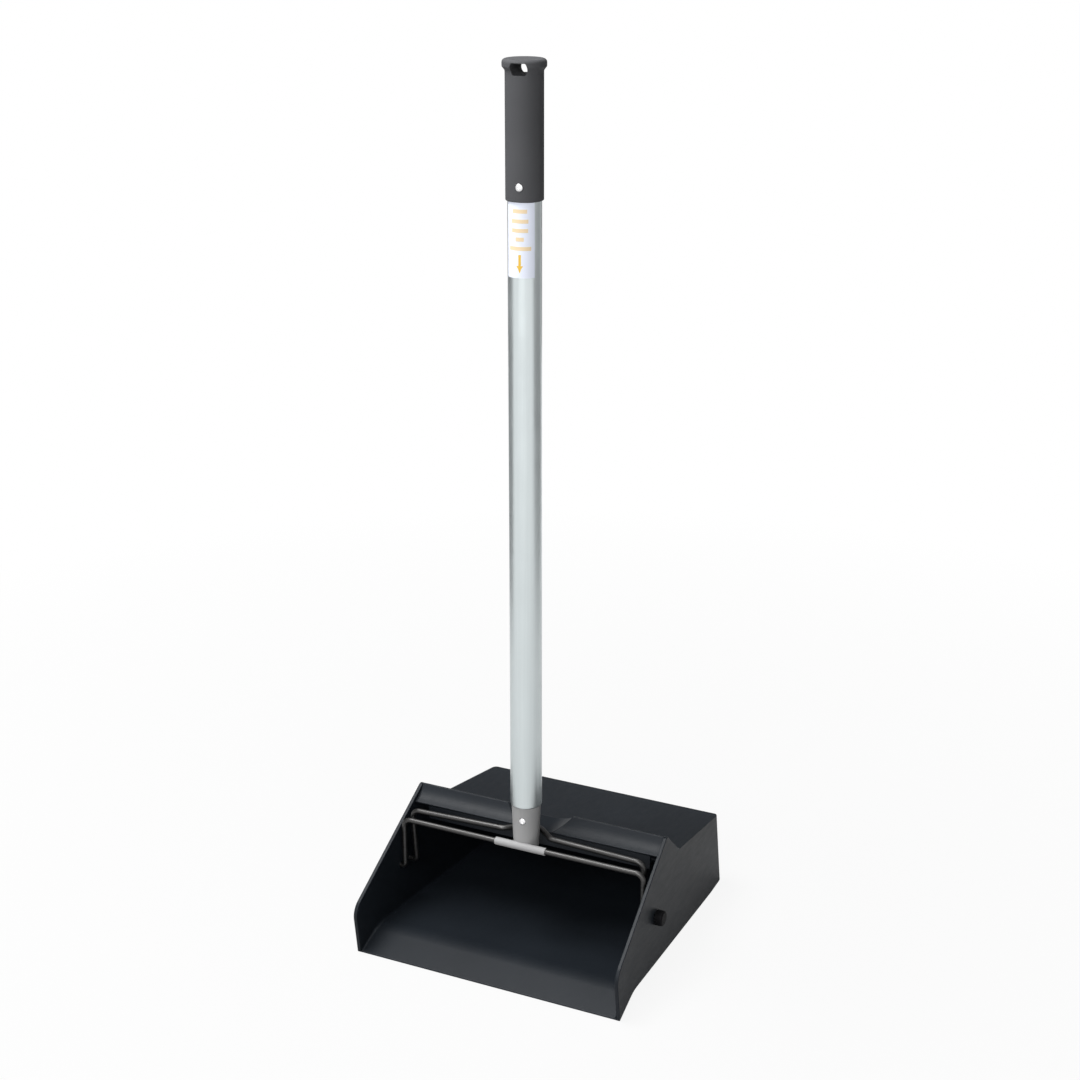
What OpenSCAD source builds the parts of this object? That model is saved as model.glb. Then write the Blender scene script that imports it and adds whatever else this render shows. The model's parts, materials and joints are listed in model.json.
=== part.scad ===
// Lobby dustpan: a moulded pan hung in a wire bail below a long upright handle.
// Millimetres, +Z up. The origin lies on the floor under the middle of the pan.
// The mouth of the pan faces -Y and the handle stands upright.

/* [Pan] */
// Outside width across the lip
mouth_w = 260; // [200:1:340]
// Outside width across the rear wall
rear_w = 239; // [180:1:320]
// Length from the lip to the foot of the rear wall
pan_l = 272; // [220:1:340]
// Thickness of the walls and the top
wall_t = 3.4; // [2:0.1:5]
// Thickness of the floor
floor_t = 2.8; // [2:0.1:5]
// Thickness of the lip at its edge
lip_t = 1.5; // [0.8:0.1:3]
// Length of the ramp behind the lip
ramp_l = 33; // [20:1:60]
// Height of the floor's underside at the top of the ramp
ramp_h = 11; // [4:0.5:18]
// Length of the flat heel that the pan rests on
heel_l = 34; // [15:1:60]
// Reach of the side walls' nose ahead of the lip, before rounding
nose_reach = 6.5; // [2:0.5:15]
// Height of the nose, before rounding
nose_h = 46; // [30:1:70]
// Radius of the nose
nose_r = 16; // [6:1:24]
// Distance from the lip back to the ridge
ridge_y = 113; // [90:1:140]
// Height of the ridge
ridge_h = 122; // [105:1:150]
// Distance that the front strip runs forward from the ridge
strip_run = 15; // [8:0.2:24]
// Distance that the front strip drops below the ridge
strip_drop = 13.6; // [8:0.2:20]
// Depth of the front strip's hollow
strip_sag = 2; // [0:0.1:3]
// Distance of the hood's rib behind the strip's lower edge
rib_back = 7; // [4:0.5:12]
// Distance that the hood's rib reaches below the strip's lower edge
rib_drop = 18.5; // [8:0.5:24]
// Distance between the ends of the hood's rib and the side walls
rib_inset = 10; // [4:0.5:40]
// Distance from the lip back to the valley behind the ridge
valley_y = 144.5; // [130:0.5:170]
// Height of the valley
valley_h = 94; // [80:1:104]
// Distance that the rear wall leans forward from its foot to its top
rear_run = 14.5; // [0:0.5:40]
// Height of the rear wall
rear_h = 76; // [50:1:90]
// Radius of the saddle that is scooped out of the ridge
saddle_r = 40; // [30:1:80]
// Gap between the saddle and the lock wire's bow above it
saddle_gap = 3.5; // [2.5:0.1:6]

/* [Wires] */
// Diameter of both wires
wire_d = 5; // [3:0.1:6]
// Inside bend radius of the wires' bars
bend_in_r = 5; // [3:0.5:8]
// Inside bend radius where the legs turn out into the feet
foot_in_r = 1; // [0.5:0.25:2]
// Distance from the lip back to the bail's pivot
bail_y = 72; // [55:0.5:78]
// Distance from the bail's pivot back to the lock wire's pivot
pivot_step = 15; // [13:0.5:22]
// Height of both pivots
pivot_h = 55; // [45:0.5:62]
// Height of the bail's bar
bail_h = 103; // [90:0.5:108]
// Forward lean of the lock wire from its pivot to its bar
lock_lean = 6; // [0:0.5:10]
// Height of the lock wire's bar above the bail's bar
lock_rise = 6; // [4:0.5:9]
// Diameter of the push-on caps
cap_d = 14; // [9:0.5:18]
// Height of the push-on caps
cap_h = 7; // [4:0.5:12]

/* [Handle] */
// Outside diameter of the tube
tube_d = 28; // [20:0.5:34]
// Wall of the tube
tube_t = 1.2; // [0.8:0.1:2.5]
// Distance of the tube's axis behind the bail's bar
handle_back = 11.7; // [8:0.1:16]
// Turn of the tube about its own axis in the ferrule
handle_turn = 9; // [-30:1:30]
// Overall height of the dustpan
total_h = 791; // [500:1:1100]
// Height of the tube's shoulder above the bail's bar
ferrule_rise = 38; // [25:0.5:45]
// Outside diameter of the necked tail
tail_d = 19; // [15:0.5:20]
// Diameter of the ferrule below the tube
ferrule_d = 26; // [23:0.5:32]
// Diameter of the ferrule at its foot
ferrule_foot_d = 23; // [16:0.5:25]
// Length of the ferrule's cross sleeve
sleeve_l = 50; // [30:1:70]
// Outside diameter of the ferrule's cross sleeve
sleeve_d = 7; // [6.2:0.2:12]
// Diameter of the rivets' shanks
rivet_d = 4; // [2.5:0.1:5]

/* [Grip] */
// Length of the grip
grip_l = 111; // [80:1:180]
// Wall of the grip round the tube
grip_t = 1.6; // [1.2:0.1:4]
// Diameter of the flare at the grip's top
flare_d = 36; // [33:0.5:48]
// Height of the flare's rim
rim_h = 6; // [4:0.5:9]
// Height of the cone below the flare's rim
flare_h = 3; // [2:0.5:12]
// Length of the solid head above the tube
head_l = 24; // [20:1:40]
// Diameter of the hang hole
hang_d = 9.6; // [6:0.2:12]
// Distance of the hang hole below the grip's top
hang_drop = 7.4; // [7:0.2:14]
// Length of the hang hole's round throat
hang_throat = 8; // [6:0.5:20]
// Widening of the hang hole to each side from its throat to the grip's surface
hang_rim = 2.4; // [0:0.1:4]
// Width of the label round the tube
label_w = 25; // [15:0.5:40]
// Height of the label
label_h = 61; // [30:1:100]

/* [Hidden] */
$fn = 64;

// Clearances and small sizes
overrun = 20;
run_gap = 0.06;
fit_gap = 0.05;
face_gap = 0.6;
leg_gap = 1.5;
end_gap = 0.3;
socket_skin = 0.8;
bow_lift = 1;
swell = 0.03;
lap = 0.25;
arc_step = 7.5;
sag_steps = 8;

// Radii of the pan's folds and corners
ridge_r = 4;
valley_r = 10;
rear_top_r = 6;
rear_foot_r = 4;
ramp_r = 40;
rear_corner_r = 9;
corner_ease = 0.2;

// Plane geometry
function unit(v) = v / norm(v);
function right_of(d) = [d.y, -d.x];
function polar(r, a) = r * [cos(a), sin(a)];
function meet(p, d, q, e) = p + d * cross(q - p, e) / cross(d, e);

// Point where the sides a-b and b-c meet after both move inward by t and s
function inset(a, b, c, t, s) = let (d = unit(b - a), e = unit(c - b))
    meet(b + right_of(d) * t, d, b + right_of(e) * s, e);

// Centre of the arc of radius r that rounds the corner b
function arc_centre(a, b, c, r) = let (d = unit(a - b), e = unit(c - b), half = acos(d * e) / 2)
    b + unit(d + e) * r / sin(half);

// Points of the arc that rounds the corner b, or b itself where r is zero
function arc(a, b, c, r) = r == 0 ? [b] :
    let (d = unit(a - b), e = unit(c - b), half = acos(d * e) / 2, m = arc_centre(a, b, c, r))
    let (p = b + d * r / tan(half) - m, q = b + e * r / tan(half) - m)
    let (from = atan2(p.y, p.x), swing = sign(cross(p, q)) * (180 - 2 * half))
    let (n = ceil(abs(swing) / arc_step))
    [for (i = [0 : n]) m + polar(r, from + swing * i / n)];

// Outline with the corner at each point rounded by its own radius, and sharp past the last radius
function rounded(points, radii) = let (n = len(points))
    [for (i = [0 : n - 1]) let (r = i < len(radii) ? radii[i] : 0)
        each arc(points[(i + n - 1) % n], points[i], points[(i + 1) % n], r)];

// Points from p to q along a shallow curve that sags to the right by the given depth
function sagging(p, q, sag) = let (deepest = right_of(unit(q - p)) * sag)
    [for (i = [0 : sag_steps]) let (t = i / sag_steps) p + (q - p) * t + deepest * 4 * t * (1 - t)];

// Side view of the pan as [distance behind the lip, height]
lip = [0, 0];
nose = [-nose_reach, nose_h];
ridge = [ridge_y, ridge_h];
valley = [valley_y, valley_h];
rear_top = [pan_l - rear_run, rear_h];
rear_foot = [pan_l, 0];
heel = [pan_l - heel_l, 0];
ramp = [ramp_l, ramp_h];
strip_foot = ridge - [strip_run, strip_drop];
strip_back = strip_foot + right_of(unit(ridge - strip_foot)) * wall_t;
ridge_in = inset(strip_foot, ridge, valley, wall_t, wall_t);
valley_in = inset(ridge, valley, rear_top, wall_t, wall_t);
rear_top_in = inset(valley, rear_top, rear_foot, wall_t, wall_t);
rear_foot_in = inset(rear_top, rear_foot, heel, wall_t, floor_t);
heel_in = inset(rear_foot, heel, ramp, floor_t, floor_t);
ramp_in = ramp + [0, floor_t];
lip_in = lip + [0, lip_t];
side_outline = rounded([lip, nose, ridge, valley, rear_top, rear_foot, heel, ramp],
    [0, nose_r, ridge_r, valley_r, rear_top_r, rear_foot_r, 0, ramp_r]);

// The part is centred on its length from the nose to the back of the rear wall
nose_front = arc_centre(lip, nose, ridge, nose_r).x - nose_r;
rear_back = arc_centre(rear_top, rear_foot, heel, rear_foot_r).x + rear_foot_r;
lip_y = -(rear_back + nose_front) / 2;
front = nose_front - overrun;
strip_face = sagging(strip_foot, ridge, strip_sag);
strip_inside = sagging(ridge_in, strip_back, -strip_sag);
strip_middle = sagging((strip_foot + strip_back) / 2, (ridge + ridge_in) / 2, strip_sag);
void_outline = rounded(
    concat([[front, -overrun], [0, -overrun], lip_in, ramp_in, heel_in, rear_foot_in, rear_top_in,
        valley_in], strip_inside, strip_face, [[front, ridge_h]]),
    [0, 0, 0, ramp_r, 0, rear_foot_r, rear_top_r - wall_t, valley_r + wall_t]);
hood_outline = concat(strip_face, [valley, valley_in, strip_back]);

// Plan view, drawn square to the rear wall, which leans forward
rear_lean = atan2(rear_run, rear_h);
plan_l = pan_l * cos(rear_lean);
plan_top = 2 * ridge_h;
side_slope = (mouth_w - rear_w) / 2 / plan_l;
function half_w(p) = rear_w / 2 + side_slope * ((pan_l - p.x) * cos(rear_lean) - p.y * sin(rear_lean));

// Pivots and the wires' places
wire_r = wire_d / 2;
bar_bend_r = bend_in_r + wire_r;
foot_bend_r = foot_in_r + wire_r;
lock_y = bail_y + pivot_step;
bail_wall = half_w([bail_y, pivot_h]);
lock_wall = half_w([lock_y, pivot_h]);
bail_socket = bail_wall - socket_skin;
bail_leg_x = bail_wall - wall_t - leg_gap - wire_r;
lock_leg_x = bail_leg_x - leg_gap - wire_r;

// Handle stations
tube_y = bail_y + handle_back;
shoulder_h = bail_h + ferrule_rise;
tail_share = 0.7;
tail_l = tail_share * ferrule_rise;
tube_r = tube_d / 2;
tail_r = tail_d / 2;
ferrule_r = ferrule_d / 2;
ferrule_foot_r = ferrule_foot_d / 2;
sleeve_r = sleeve_d / 2;
ferrule_foot = bail_h - sleeve_r;
function ferrule_r_at(h) =
    ferrule_foot_r + (ferrule_r - ferrule_foot_r) * (h - ferrule_foot) / (shoulder_h - ferrule_foot);
tube_top = total_h - head_l;
grip_foot = total_h - grip_l;
grip_r = tube_r + grip_t;
rivet_r = rivet_d / 2;
head_r_share = 1.6;
head_h_share = 0.7;
pit_share = 0.4;
rivet_head_r = head_r_share * rivet_r;
rivet_head_h = head_h_share * rivet_r;
rivet_sink = 0.5;
ferrule_rivet_h = shoulder_h - tail_l / 2;
grip_rivet_h = grip_foot + 3 * rivet_d;
ferrule_seat = ferrule_r_at(ferrule_rivet_h) - rivet_sink;
grip_seat = grip_r - rivet_sink;
label_t = 0.3;

// The bow of the lock wire round the back of the ferrule
bow_h = bail_h + lock_rise + bow_lift;
bow_back_y = tube_y + ferrule_r_at(bow_h + wire_r) + face_gap + wire_r;
bow_share = 0.55;
bow_open_share = 1.85;
bow_x = bow_share * ferrule_r;
bow_open_x = bow_open_share * ferrule_r;

// Places a child whose local frame has its origin on the lip, in the part's frame
module from_lip() {
    translate([0, lip_y, 0]) children();
}

// Side view outline pushed across the pan's width
module across(outline, width) {
    translate([-width / 2, 0, 0])
        rotate([90, 0, 90])
            linear_extrude(width)
                polygon(outline);
}

// Plan view prism of the pan, drawn in by t, standing along the leaning rear wall
module plan(t, corner_r) {
    rear_x = rear_w / 2 - t;
    front_x = rear_x + side_slope * (plan_l + overrun);
    outline = [[-front_x, -plan_l - overrun], [-rear_x, corner_ease - t], [rear_x, corner_ease - t],
        [front_x, -plan_l - overrun]];
    translate([0, pan_l, 0])
        rotate([rear_lean, 0, 0])
            translate([0, 0, -plan_top])
                linear_extrude(2 * plan_top)
                    polygon(rounded(outline, [0, corner_r, corner_r, 0]));
}

// Round trough along the pan, through the middle of the ridge
module saddle(r) {
    translate([0, 0, bow_h - wire_r - saddle_gap + saddle_r])
        rotate([-90, 0, 0])
            cylinder(h = pan_l, r = r);
}

// Pin hole across the pan at a side view point, reaching that far to both sides
module cross_bore(p, reach) {
    translate([-reach, p.x, p.y])
        rotate([0, 90, 0])
            cylinder(h = 2 * reach, r = wire_r + run_gap);
}

// Stiffening rib that hangs below the hood behind the strip
module hood_rib() {
    rib = strip_foot + [rib_back, -rib_drop];
    rib_x = half_w(rib) - wall_t - rib_inset;
    intersection() {
        across(concat(strip_middle, [[ridge.x, 0], [strip_foot.x, 0]]), mouth_w);
        translate([-rib_x, rib.x, rib.y])
            cube([2 * rib_x, floor_t, ridge_h]);
    }
}

// Inside of the pan, less the wall below the saddle and the rib
module pan_void() {
    difference() {
        intersection() {
            across(void_outline, mouth_w);
            plan(wall_t, rear_corner_r - wall_t);
        }
        intersection() {
            saddle(saddle_r + wall_t);
            across(hood_outline, mouth_w);
        }
        hood_rib();
    }
}

module pan() {
    color("#33363c")
        from_lip()
            difference() {
                intersection() {
                    across(side_outline, mouth_w + overrun);
                    plan(0, rear_corner_r);
                }
                saddle(saddle_r);
                pan_void();
                cross_bore([bail_y, pivot_h], bail_socket);
                cross_bore([lock_y, pivot_h], lock_wall + overrun);
            }
}

// Wires are straight runs joined by round bends
function heading(path, i) = unit(path[i + 1] - path[i]);
function turn(path, i) = acos(heading(path, i - 1) * heading(path, i));
function at_end(path, i) = i == 0 || i == len(path) - 1;
function next_to_end(path, i) = i == 1 || i == len(path) - 2;
function bend_r(path, i) = next_to_end(path, i) ? foot_bend_r : bar_bend_r;
function setback(path, i) = at_end(path, i) ? 0 : bend_r(path, i) * tan(turn(path, i) / 2) - lap;

// Run from a to b
module straight(a, b) {
    d = unit(b - a);
    translate(a)
        rotate([0, acos(d.z), atan2(d.y, d.x)])
            cylinder(h = norm(b - a), r = wire_r);
}

// Bend of radius r at p from heading d to heading e, a hair thicker than the runs
module bend(p, d, e, r) {
    axis = unit(cross(d, e));
    inward = cross(axis, d);
    angle = acos(d * e);
    m = p - d * r * tan(angle / 2) + inward * r;
    multmatrix([[-inward.x, d.x, axis.x, m.x],
            [-inward.y, d.y, axis.y, m.y],
            [-inward.z, d.z, axis.z, m.z]])
        rotate_extrude(angle = angle)
            translate([r, 0])
                circle(wire_r + swell);
}

module wire(path) {
    for (i = [0 : len(path) - 2])
        straight(path[i] + heading(path, i) * setback(path, i),
            path[i + 1] - heading(path, i) * setback(path, i + 1));
    for (i = [1 : len(path) - 2])
        bend(path[i], heading(path, i - 1), heading(path, i), bend_r(path, i));
}

// A path and its mirror image, as one path from left to right
function both_sides(path) = concat(path,
    [for (i = [len(path) - 1 : -1 : 0]) [-path[i].x, path[i].y, path[i].z]]);

bail_path = both_sides([
    [end_gap - bail_socket, bail_y, pivot_h],
    [-bail_leg_x, bail_y, pivot_h],
    [-bail_leg_x, bail_y, bail_h]]);

lock_path = both_sides([
    [-lock_wall - face_gap - cap_h / 2, lock_y, pivot_h],
    [-lock_leg_x, lock_y, pivot_h],
    [-lock_leg_x, lock_y - lock_lean, bail_h + lock_rise],
    [-bow_open_x, lock_y - lock_lean / 2, bow_h],
    [-bow_x, bow_back_y, bow_h]]);

module bail_wire() {
    color("#8f9092")
        from_lip()
            wire(bail_path);
}

module lock_wire() {
    color("#85868a")
        from_lip()
            wire(lock_path);
}

// Round cap pushed on the end of a foot
module push_cap() {
    cap_r = cap_d / 2;
    difference() {
        rotate_extrude()
            polygon(rounded([[0, 0], [cap_r, 0], [cap_r, cap_h], [0, cap_h]],
                [0, 0, cap_h / 4]));
        translate([0, 0, -lap])
            cylinder(h = cap_h / 2 + fit_gap + lap, r = wire_r + fit_gap);
    }
}

module lock_cap_right() {
    color("#17181a")
        from_lip()
            translate([lock_wall + face_gap, lock_y, pivot_h])
                rotate([0, 90, 0])
                    push_cap();
}

module lock_cap_left() {
    color("#17181a")
        mirror([1, 0, 0])
            lock_cap_right();
}

// Places a child on the handle's axis at height h, turned with the tube
module on_handle(h) {
    translate([0, lip_y + tube_y, h])
        rotate([0, 0, handle_turn])
            children();
}

// Blind rivet along -Y, its domed head seated at the radius r
module rivet(r, shank_l) {
    pit_r = pit_share * rivet_r;
    head = [for (i = [0 : arc_step : 90]) if (rivet_head_r * cos(i) > pit_r)
        [rivet_head_r * cos(i), rivet_head_h * sin(i)]];
    rotate([90, 0, 0])
        translate([0, 0, r])
            rotate_extrude()
                polygon(concat([[0, -shank_l], [rivet_r, -shank_l], [rivet_r, 0]], head,
                    [[pit_r, 0], [0, 0]]));
}

// Hole along -Y for a rivet, with a flat seat for its head at the radius r
module rivet_hole(r) {
    rotate([90, 0, 0])
        cylinder(h = r + lap, r = rivet_r + fit_gap);
    rotate([90, 0, 0])
        translate([0, 0, r])
            cylinder(h = rivet_d, r = rivet_head_r + fit_gap);
}

// Conical socket with a cross sleeve ahead of its foot
module ferrule() {
    color("#8c8d90")
        difference() {
            union() {
                on_handle(ferrule_foot)
                    cylinder(h = shoulder_h - ferrule_foot, r1 = ferrule_foot_r, r2 = ferrule_r);
                translate([-sleeve_l / 2, lip_y + bail_y, bail_h])
                    rotate([0, 90, 0])
                        cylinder(h = sleeve_l, r = sleeve_r);
                translate([-sleeve_r, lip_y + bail_y, ferrule_foot])
                    cube([sleeve_d, handle_back, sleeve_d]);
            }
            on_handle(shoulder_h - tail_l - face_gap)
                cylinder(h = tail_l + overrun, r = tail_r + fit_gap);
            translate([-sleeve_l / 2 - overrun, lip_y + bail_y, bail_h])
                rotate([0, 90, 0])
                    cylinder(h = sleeve_l + 2 * overrun, r = wire_r + fit_gap);
            on_handle(ferrule_rivet_h)
                rivet_hole(ferrule_seat);
        }
}

module ferrule_rivet() {
    color("#e3e4e6")
        on_handle(ferrule_rivet_h)
            rivet(ferrule_seat, ferrule_seat - tail_r + 2 * tube_t);
}

// Tube with a rounded shoulder and a necked tail
module handle_tube() {
    bore_r = tube_r - tube_t;
    tail_bore_r = tail_r - tube_t;
    tube_l = tube_top - shoulder_h;
    color("#c9ccd0")
        on_handle(shoulder_h)
            difference() {
                rotate_extrude()
                    polygon(rounded([[tail_bore_r, -tail_l], [tail_r, -tail_l], [tail_r, fit_gap],
                            [tube_r, fit_gap], [tube_r, tube_l], [bore_r, tube_l],
                            [bore_r, tube_r - tail_r], [tail_bore_r, tube_t]],
                        [0, 0, 0, tube_t, 0, 0, tube_t, 0]));
                translate([0, 0, ferrule_rivet_h - shoulder_h])
                    rivet_hole(tube_r);
                translate([0, 0, grip_rivet_h - shoulder_h])
                    rivet_hole(tube_r);
            }
}

// Hole through the grip's head, with a round throat and wide, level mouths
module hang_hole() {
    hang_r = hang_d / 2;
    rim_slope = hang_rim / (grip_r - hang_throat / 2);
    for (side = [0, 180])
        rotate([90, 0, side]) {
            translate([0, 0, -lap])
                cylinder(h = hang_throat / 2 + lap, r = hang_r);
            translate([0, 0, hang_throat / 2])
                intersection() {
                    cylinder(h = flare_d, r1 = hang_r, r2 = hang_r + rim_slope * flare_d);
                    translate([-flare_d, -hang_r, 0])
                        cube([2 * flare_d, hang_d, flare_d]);
                }
        }
}

// Sleeve with a flared, closed head and a hang hole
module grip() {
    flare_r = flare_d / 2;
    bore_r = tube_r + fit_gap;
    rim_z = total_h - rim_h;
    color("#4a4b4f")
        difference() {
            on_handle(0)
                rotate_extrude()
                    polygon(rounded([[bore_r, grip_foot], [grip_r, grip_foot], [grip_r, rim_z - flare_h],
                            [flare_r, rim_z], [flare_r, total_h], [0, total_h],
                            [0, tube_top + fit_gap], [bore_r, tube_top + fit_gap]],
                        [0, grip_t / 2, flare_h, rim_h / 3, rim_h / 2, 0, 0, 0]));
            on_handle(total_h - hang_drop)
                hang_hole();
            on_handle(grip_rivet_h)
                rivet_hole(grip_seat);
        }
}

module grip_rivet() {
    color("#e3e4e6")
        on_handle(grip_rivet_h)
            rivet(grip_seat, grip_seat - tube_r + 2 * tube_t);
}

// Foil label round the front of the tube
module label() {
    label_r = tube_r + fit_gap;
    label_angle = label_w / label_r * 180 / PI;
    color("#dfe1ee")
        on_handle(grip_foot - label_h - fit_gap)
            rotate([0, 0, -90 - label_angle / 2])
                rotate_extrude(angle = label_angle)
                    translate([label_r, 0])
                        square([label_t, label_h]);
}

pan();
bail_wire();
lock_wire();
lock_cap_left();
lock_cap_right();
ferrule();
ferrule_rivet();
handle_tube();
grip();
grip_rivet();
label();
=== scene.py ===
"""Lobby dustpan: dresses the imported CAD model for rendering.

Metres, +Z up, in the CAD's own frame. The floor is z = 0, the pan's mouth faces -Y and the handle
stands upright.
"""

import json
import math

import bmesh
import bpy
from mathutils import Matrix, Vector


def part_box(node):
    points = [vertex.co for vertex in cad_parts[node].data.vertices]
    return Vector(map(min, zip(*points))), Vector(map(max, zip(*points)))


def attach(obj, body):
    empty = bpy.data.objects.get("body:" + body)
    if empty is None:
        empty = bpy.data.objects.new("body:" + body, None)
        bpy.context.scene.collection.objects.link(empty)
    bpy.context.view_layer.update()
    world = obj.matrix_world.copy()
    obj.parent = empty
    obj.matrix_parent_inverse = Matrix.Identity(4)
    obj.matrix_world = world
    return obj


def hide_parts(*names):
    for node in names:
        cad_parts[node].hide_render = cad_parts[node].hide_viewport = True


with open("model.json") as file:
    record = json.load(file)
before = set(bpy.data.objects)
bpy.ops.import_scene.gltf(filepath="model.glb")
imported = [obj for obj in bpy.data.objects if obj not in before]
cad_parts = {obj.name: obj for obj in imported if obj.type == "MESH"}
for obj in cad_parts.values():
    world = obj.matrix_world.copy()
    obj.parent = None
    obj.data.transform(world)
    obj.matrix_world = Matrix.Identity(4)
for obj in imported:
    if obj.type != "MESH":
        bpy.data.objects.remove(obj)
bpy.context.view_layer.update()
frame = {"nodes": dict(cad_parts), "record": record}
MM = 0.001

# Rounding of the pan, the ferrule and the grip
weld_gap = 0.002 * MM
flat_angle = math.radians(0.4)
pan_edge_r = 0.7 * MM
pan_sharp = math.radians(25.0)
fitting_edge_r = 0.5 * MM
fitting_sharp = math.radians(35.0)
edge_steps = 3
floor_fillet_r = 2.5 * MM
floor_corner_top = 20.0 * MM
fillet_steps = 5
round_profile = 0.5
normal_weight = 80

# The label's place, from the tube, the label and the way the hang hole faces
label_rise = 0.35 * MM
tube_low, tube_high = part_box("handle_tube")
tube_y = (tube_low.y + tube_high.y) / 2
label_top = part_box("label")[1].z
label_r = (tube_high.x - tube_low.x) / 2 + label_rise
hang_axis = next(mount["axis"] for mount in frame["record"]["mounts"] if mount["name"] == "hang_hole")
label_heading = math.atan2(hang_axis[1], hang_axis[0])

# The print on the label, measured down from its top
ink_t = 0.03 * MM
bar_h = 3.2 * MM
bar_drops = [drop * MM for drop in (7.0, 15.0, 22.5, 29.5, 37.0)]
bar_widths = [width * MM for width in (12.5, 14.5, 14.0, 7.0, 19.0)]
arrow_high = 42.0 * MM
arrow_low = 57.0 * MM
shaft_w = 2.2 * MM
head_w = 5.6 * MM
head_h = 6.0 * MM
patch_columns = 10

# Detail of the materials: noise cells a metre, for scuffs and streaks times a factor along each axis
ramp_start = 0.3
ramp_end = 0.7
shade_scale = 9.0
scuff_scale = 3.0
scuff_factors = (60.0, 14.0, 60.0)
plastic_rough_changes = (-0.03, 0.04)
coarse_grain = 900.0
fine_grain = 1400.0
ferrule_grain = 1800.0
film_grain = 600.0
grain_depth = 0.06 * MM
print_depth = 0.01 * MM
streak_scale = 12.0
across_factor = 40.0
along_factor = 0.6
streak_depth = 0.01 * MM
cloud_scale = 30.0
metal_rough_changes = (-0.05, 0.06)

# The floor, whose share of plain white rises from near to far, the grey cards and the world
floor_size = 16.0
floor_level = 0.55
stage_rough = 0.9
glow_near = 0.3
glow_far = 1.2
seen_near_share = 0.9
# Beside the object, mirrored rays see mostly the lit matt floor and little plain white. The matt floor
# holds the real shadow, and the floor there is also darker by itself: painted shade in reflections for the
# object's contact shadow.
mirrored_painted_shade_share = 0.2
world_level = 0.1

# The camera, placed from the middle of the lip's edge, with its angles in degrees
lip_back = 5.215 * MM
camera_right = 0.7019
camera_ahead = 1.3392
camera_high = 0.9554
camera_dip = 19.609
camera_turn = 25.813
lens_mm = 65.93
sensor_mm = 36.0


# Shapes

def link(name, data):
    """A new object with that mesh, light or camera, in the scene."""
    obj = bpy.data.objects.new(name, data)
    bpy.context.scene.collection.objects.link(obj)
    return obj


def from_bmesh(name, bm):
    """A new object with the mesh that bm holds. It frees bm."""
    mesh = bpy.data.meshes.new(name)
    bm.to_mesh(mesh)
    bm.free()
    return link(name, mesh)


def round_edges(bm, radius, steps, sharp, chosen):
    """Rounds the edges sharper than that angle for which chosen(edge) holds."""
    edges = [edge for edge in bm.edges
             if len(edge.link_faces) == 2 and edge.calc_face_angle(0.0) > sharp and chosen(edge)]
    bmesh.ops.bevel(bm, geom=edges, offset=radius, offset_type="OFFSET", segments=steps,
                    profile=round_profile, affect="EDGES", clamp_overlap=False, miter_outer="ARC")


def beside_floor(edge):
    """True for the level hollow edges between the pan's floor and its walls."""
    heights = [vert.co.z for vert in edge.verts]
    level = max(heights) - min(heights) < edge.calc_length() / 2
    return level and not edge.is_convex and max(heights) < floor_corner_top


def keep_inside(bm, node):
    """Brings back the few vertices that rounding pushed slightly out of the node's box."""
    lowest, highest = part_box(node)
    for vert in bm.verts:
        vert.co = [min(max(value, low), high) for value, low, high in zip(vert.co, lowest, highest)]


def rounded_copy(node, name, body, radius, sharp, hollow=True, in_fillet=None):
    """A copy of a CAD node with welded faces and its sharp edges rounded. It stands for the node.

    Where hollow is False only the edges that stand out are rounded. The edges for which in_fillet(edge)
    holds get the larger fillet of the pan's floor.
    """
    bm = bmesh.new()
    bm.from_mesh(frame["nodes"][node].data)
    bmesh.ops.remove_doubles(bm, verts=bm.verts, dist=weld_gap)
    bmesh.ops.dissolve_limit(bm, angle_limit=flat_angle, verts=bm.verts, edges=bm.edges)
    if in_fillet:
        round_edges(bm, floor_fillet_r, fillet_steps, sharp, in_fillet)
    round_edges(bm, radius, edge_steps, sharp, lambda edge: hollow or edge.is_convex)
    keep_inside(bm, node)
    for face in bm.faces:
        face.smooth = True
    if not hollow:
        for edge in bm.edges:
            edge.smooth = edge.is_convex or edge.calc_face_angle(0.0) < sharp
    obj = from_bmesh(name, bm)
    normals = obj.modifiers.new("even_normals", "WEIGHTED_NORMAL")
    normals.keep_sharp = True
    normals.weight = normal_weight
    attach(obj, body)
    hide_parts(node)
    return obj


def on_tube(arc, height, radius):
    """Point on a cylinder round the tube, that arc length to the right of the label's middle."""
    angle = label_heading + arc / radius
    return (radius * math.cos(angle), tube_y + radius * math.sin(angle), height)


def printed_patch(bm, low, high, low_half, high_half):
    """A thin closed patch of ink on the label, from one half width at low to another at high."""
    rings = []
    for radius in (label_r - ink_t, label_r + ink_t):
        for height, half in ((low, low_half), (high, high_half)):
            rings.append([bm.verts.new(on_tube(half * (2.0 * i / patch_columns - 1.0), height, radius))
                          for i in range(patch_columns + 1)])
    under_low, under_high, over_low, over_high = rings
    loops = ((over_low, over_high), (under_high, under_low), (under_low, over_low), (over_high, under_high))
    for first, second in loops:
        for i in range(patch_columns):
            bm.faces.new((first[i], first[i + 1], second[i + 1], second[i]))
    for i in (0, patch_columns):
        side = (under_low[i], over_low[i], over_high[i], under_high[i])
        bm.faces.new(side if i == 0 else side[::-1])


def printed(name, patches):
    """A piece of print on the label. A patch is its low, its high and its half width at each."""
    bm = bmesh.new()
    for patch in patches:
        printed_patch(bm, *patch)
    bmesh.ops.recalc_face_normals(bm, faces=bm.faces)
    obj = from_bmesh(name, bm)
    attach(obj, "handle")
    return obj


def label_bars():
    """Plain bars across the label."""
    bars = []
    for drop, width in zip(bar_drops, bar_widths):
        middle = label_top - drop
        bars.append((middle - bar_h / 2, middle + bar_h / 2, width / 2, width / 2))
    return printed("label_bars", bars)


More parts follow.
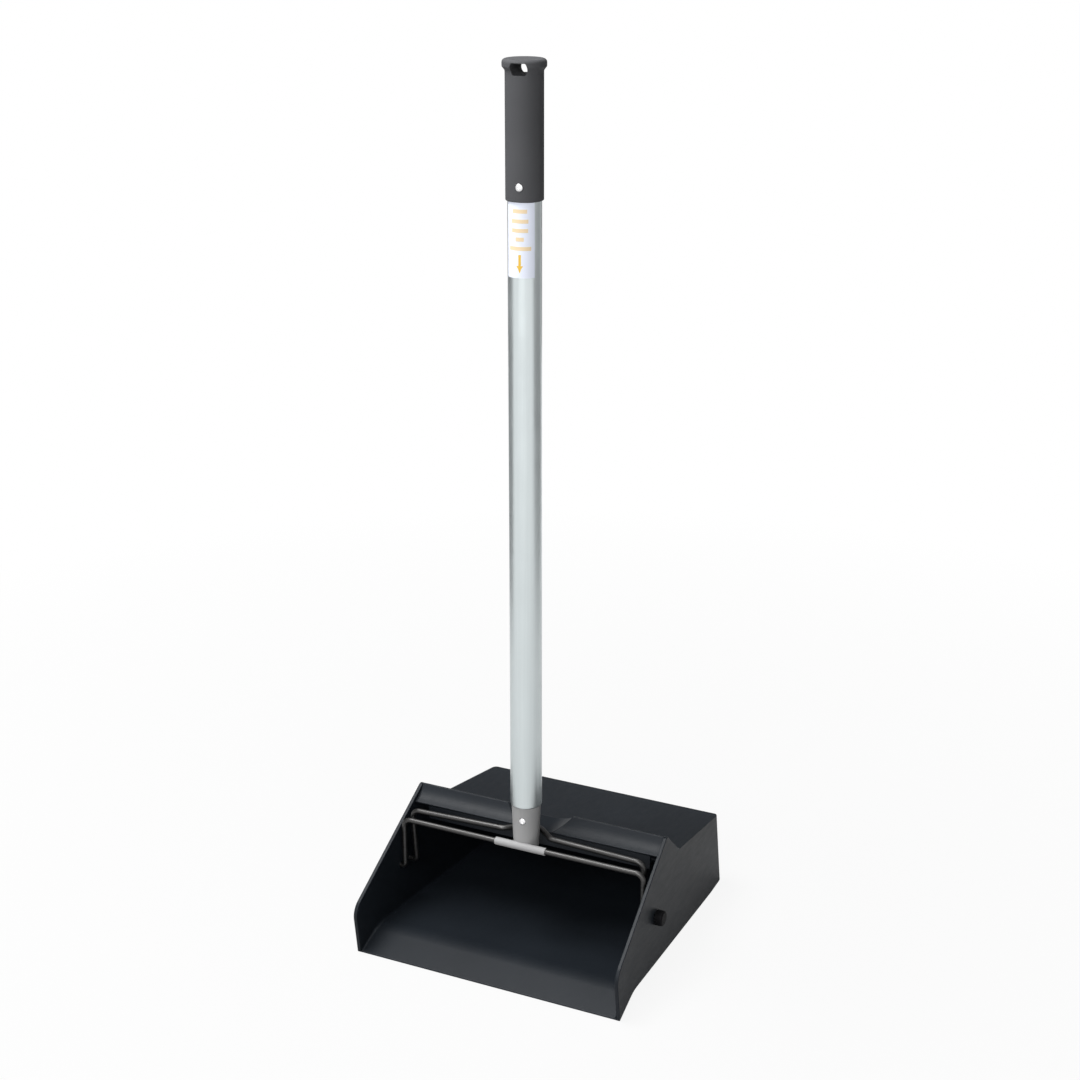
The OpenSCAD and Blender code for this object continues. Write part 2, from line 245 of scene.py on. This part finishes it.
def label_arrow():
    """A plain arrow that points down the tube."""
    tip = label_top - arrow_low
    neck = tip + head_h
    shaft = (neck, label_top - arrow_high, shaft_w / 2, shaft_w / 2)
    head = (tip, neck, ink_t, head_w / 2)
    return printed("label_arrow", [shaft, head])


# Materials

def grey(level):
    """An even grey as a node's colour."""
    return (level, level, level, 1.0)


def material(name):
    """A new node material."""
    mat = bpy.data.materials.new(name)
    mat.use_nodes = True
    return mat


def shader_of(mat):
    """The material's main shader."""
    return mat.node_tree.nodes["Principled BSDF"]


def object_coords(tree):
    """The object's own coordinates."""
    return tree.nodes.new("ShaderNodeTexCoord").outputs["Object"]


def stretched(tree, coords, factors):
    """Coordinates times a factor along each axis."""
    mapping = tree.nodes.new("ShaderNodeMapping")
    mapping.inputs["Scale"].default_value = factors
    tree.links.new(coords, mapping.inputs["Vector"])
    return mapping.outputs["Vector"]


def noise(tree, vector, scale, detail, roughness=0.6):
    """Noise factor at that many cells to a unit of the vector."""
    node = tree.nodes.new("ShaderNodeTexNoise")
    node.inputs["Scale"].default_value = scale
    node.inputs["Detail"].default_value = detail
    node.inputs["Roughness"].default_value = roughness
    tree.links.new(vector, node.inputs["Vector"])
    return node.outputs["Fac"]


def ramp(tree, factor, low, high):
    """Colour or grey that goes from low to high with the factor."""
    node = tree.nodes.new("ShaderNodeValToRGB")
    for element, place, value in zip(node.color_ramp.elements, (ramp_start, ramp_end), (low, high)):
        element.position = place
        element.color = (*value, 1.0) if isinstance(value, tuple) else grey(value)
    tree.links.new(factor, node.inputs["Fac"])
    return node.outputs["Color"]


def bump(tree, shader, factor, depth):
    """Bump of that depth in metres."""
    node = tree.nodes.new("ShaderNodeBump")
    node.inputs["Strength"].default_value = 1.0
    node.inputs["Distance"].default_value = depth
    tree.links.new(factor, node.inputs["Height"])
    tree.links.new(node.outputs["Normal"], shader.inputs["Normal"])


def moulded_plastic(name, dark, light, rough, gloss, grain=coarse_grain, depth=grain_depth):
    """Satin moulded plastic with a fine grain and slow changes of shade."""
    mat = material(name)
    tree = mat.node_tree
    shader = shader_of(mat)
    coords = object_coords(tree)
    shader.inputs["Specular IOR Level"].default_value = gloss
    shade = noise(tree, coords, shade_scale, detail=3.0)
    tree.links.new(ramp(tree, shade, dark, light), shader.inputs["Base Color"])
    scuff = noise(tree, stretched(tree, coords, scuff_factors), scuff_scale, detail=6.0, roughness=0.7)
    smoothest, roughest = [rough + change for change in plastic_rough_changes]
    tree.links.new(ramp(tree, scuff, smoothest, roughest), shader.inputs["Roughness"])
    bump(tree, shader, noise(tree, coords, grain, detail=2.0), depth)
    return mat


def drawn_metal(name, dark, light, rough, along):
    """Drawn metal with streaks along one axis, given by its number."""
    mat = material(name)
    tree = mat.node_tree
    shader = shader_of(mat)
    coords = object_coords(tree)
    shader.inputs["Metallic"].default_value = 1.0
    factors = [along_factor if axis == along else across_factor for axis in range(3)]
    streaks = noise(tree, stretched(tree, coords, factors), streak_scale, detail=5.0, roughness=0.65)
    tree.links.new(ramp(tree, streaks, dark, light), shader.inputs["Base Color"])
    cloud = noise(tree, coords, cloud_scale, detail=4.0)
    smoothest, roughest = [rough + change for change in metal_rough_changes]
    tree.links.new(ramp(tree, cloud, smoothest, roughest), shader.inputs["Roughness"])
    bump(tree, shader, streaks, streak_depth)
    return mat


def paint(obj, mat):
    """Gives the object that one material."""
    obj.data.materials.clear()
    obj.data.materials.append(mat)


pan_plastic = moulded_plastic(
    "pan_plastic", (0.0088, 0.0112, 0.0146), (0.0116, 0.0146, 0.0188), rough=0.42, gloss=0.15)
grip_plastic = moulded_plastic(
    "grip_plastic", (0.066, 0.067, 0.071), (0.080, 0.081, 0.086), rough=0.56, gloss=0.06, grain=fine_grain)
cap_plastic = moulded_plastic(
    "cap_plastic", (0.004, 0.004, 0.005), (0.007, 0.007, 0.008), rough=0.5, gloss=0.05, grain=fine_grain)
ferrule_grey = moulded_plastic(
    "ferrule_grey", (0.31, 0.31, 0.312), (0.37, 0.37, 0.372), rough=0.5, gloss=0.3, grain=ferrule_grain)
wire_steel = drawn_metal("wire_steel", (0.046, 0.0455, 0.045), (0.082, 0.081, 0.080), rough=0.40, along=0)
tube_aluminium = drawn_metal(
    "tube_aluminium", (0.645, 0.700, 0.708), (0.685, 0.740, 0.748), rough=0.33, along=2)
rivet_aluminium = drawn_metal(
    "rivet_aluminium", (0.84, 0.84, 0.85), (0.92, 0.92, 0.93), rough=0.28, along=1)
label_film = moulded_plastic(
    "label_film", (0.76, 0.80, 0.91), (0.80, 0.84, 0.95), rough=0.4, gloss=0.3, grain=film_grain,
    depth=print_depth)
pale_ink = moulded_plastic(
    "pale_ink", (0.76, 0.58, 0.34), (0.84, 0.68, 0.46), rough=0.5, gloss=0.3, depth=print_depth)
amber_ink = moulded_plastic(
    "amber_ink", (0.74, 0.46, 0.055), (0.80, 0.53, 0.08), rough=0.5, gloss=0.3, depth=print_depth)


# Pieces

pan = rounded_copy("pan", "pan_shell", "pan", pan_edge_r, pan_sharp, in_fillet=beside_floor)
paint(pan, pan_plastic)
ferrule = rounded_copy(
    "ferrule", "ferrule_body", "handle", fitting_edge_r, fitting_sharp, hollow=False)
paint(ferrule, ferrule_grey)
grip = rounded_copy("grip", "grip_sleeve", "handle", fitting_edge_r, fitting_sharp)
paint(grip, grip_plastic)
for node_name, mat in (
        ("bail_wire", wire_steel), ("lock_wire", wire_steel),
        ("lock_cap_left", cap_plastic), ("lock_cap_right", cap_plastic),
        ("handle_tube", tube_aluminium), ("ferrule_rivet", rivet_aluminium),
        ("grip_rivet", rivet_aluminium), ("label", label_film)):
    paint(frame["nodes"][node_name], mat)
paint(label_bars(), pale_ink)
paint(label_arrow(), amber_ink)


# Floor, light and camera

def aim(obj, place, target):
    """Puts the object at place, facing target."""
    obj.location = place
    obj.rotation_euler = (Vector(target) - Vector(place)).to_track_quat("-Z", "Y").to_euler()


def area_light(name, place, target, size, power):
    """A square soft light at place, aimed at target."""
    lamp = bpy.data.lights.new(name, "AREA")
    lamp.size = size
    lamp.energy = power
    aim(link(name, lamp), place, target)


def flat_sheet(name, width, height):
    """A flat piece of the stage, of that size."""
    bm = bmesh.new()
    bmesh.ops.create_grid(bm, x_segments=2, y_segments=2, size=0.5)
    bmesh.ops.scale(bm, vec=(width, height, 1.0), verts=bm.verts)
    sheet = from_bmesh(name, bm)
    return sheet


def matt_grey(name, level):
    """An even matt grey material for the stage."""
    mat = material(name)
    shader = shader_of(mat)
    shader.inputs["Base Color"].default_value = grey(level)
    shader.inputs["Roughness"].default_value = stage_rough
    return mat


def math_node(tree, operation, *values):
    """Result of a math node on numbers or sockets."""
    node = tree.nodes.new("ShaderNodeMath")
    node.operation = operation
    for socket, value in zip(node.inputs, values):
        if isinstance(value, bpy.types.NodeSocket):
            tree.links.new(value, socket)
        else:
            socket.default_value = value
    return node.outputs["Value"]


def ray_kinds(tree):
    """Two factors: 1 for rays from the camera, and 1 for rays from a mirror or glass."""
    path = tree.nodes.new("ShaderNodeLightPath")
    mirrored = math_node(
        tree, "MAXIMUM", path.outputs["Is Glossy Ray"], path.outputs["Is Transmission Ray"])
    return path.outputs["Is Camera Ray"], mirrored


def rising_share(tree, distance, near_share):
    """A share that rises from near_share beside the object to 1 further off."""
    node = tree.nodes.new("ShaderNodeMapRange")
    limits = (("From Min", glow_near), ("From Max", glow_far), ("To Min", near_share), ("To Max", 1.0))
    for socket, value in limits:
        node.inputs[socket].default_value = value
    tree.links.new(distance, node.inputs["Value"])
    return node.outputs["Result"]


def pale_floor():
    """A wide pale floor that shows white and keeps a faint shadow beside the object."""
    mat = matt_grey("floor_white", floor_level)
    tree = mat.node_tree
    length = tree.nodes.new("ShaderNodeVectorMath")
    length.operation = "LENGTH"
    tree.links.new(object_coords(tree), length.inputs[0])
    distance = length.outputs["Value"]
    camera_rays, mirrored_rays = ray_kinds(tree)
    seen = math_node(tree, "MULTIPLY", camera_rays, rising_share(tree, distance, seen_near_share))
    # Less white beside the object for mirrored rays: partly the real shadow on the matt floor, partly
    # painted shade for the contact shadow in reflections.
    mirrored = rising_share(tree, distance, mirrored_painted_shade_share)
    glow_share = math_node(tree, "MULTIPLY_ADD", mirrored_rays, mirrored, seen)
    glow = tree.nodes.new("ShaderNodeEmission")
    glow.inputs["Strength"].default_value = 1.0
    mix = tree.nodes.new("ShaderNodeMixShader")
    tree.links.new(glow_share, mix.inputs["Fac"])
    tree.links.new(shader_of(mat).outputs["BSDF"], mix.inputs[1])
    tree.links.new(glow.outputs["Emission"], mix.inputs[2])
    tree.links.new(mix.outputs["Shader"], tree.nodes["Material Output"].inputs["Surface"])
    paint(flat_sheet("floor", floor_size, floor_size), mat)


def pale_world(level):
    """A dim even world that shows white behind the object."""
    world = bpy.data.worlds.new("studio")
    world.use_nodes = True
    bpy.context.scene.world = world
    tree = world.node_tree
    ground = tree.nodes["Background"]
    ground.inputs["Color"].default_value = grey(1.0)
    white = math_node(tree, "MAXIMUM", *ray_kinds(tree))
    tree.links.new(math_node(tree, "MAXIMUM", level, white), ground.inputs["Strength"])


def grey_card(name, place, target, width, height, level):
    """A grey card that faces target, which only reflections and soft light meet."""
    card = flat_sheet(name, width, height)
    aim(card, place, target)
    card.visible_camera = False
    card.visible_shadow = False
    paint(card, matt_grey(name, level))


def photo_camera():
    """The camera at the photograph's angle."""
    lip_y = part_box("pan")[0].y + lip_back
    data = bpy.data.cameras.new("camera")
    data.sensor_width = sensor_mm
    data.lens = lens_mm
    camera = link("camera", data)
    camera.location = (camera_right, lip_y - camera_ahead, camera_high)
    camera.rotation_euler = (math.radians(90.0 - camera_dip), 0.0, math.radians(camera_turn))
    bpy.context.scene.camera = camera


pale_floor()
pale_world(world_level)
area_light("top", place=(-0.60, -0.40, 2.05), target=(0.0, 0.0, 0.05), size=1.0, power=46.0)
area_light("front", place=(0.25, -2.20, 1.45), target=(0.0, -0.05, 0.5), size=0.9, power=34.0)
grey_card("right_card", place=(0.72, 0.40, 0.5), target=(0.0, -0.05, 0.4),
          width=1.3, height=1.0, level=0.34)
grey_card("rear_card", place=(-0.55, 1.55, 0.75), target=(0.0, -0.05, 0.55),
          width=1.8, height=1.3, level=0.05)
grey_card("left_card", place=(-0.75, 0.03, 0.5), target=(0.0, -0.05, 0.4),
          width=1.0, height=1.0, level=0.45)
photo_camera()
bpy.context.scene.view_settings.view_transform = "Standard"
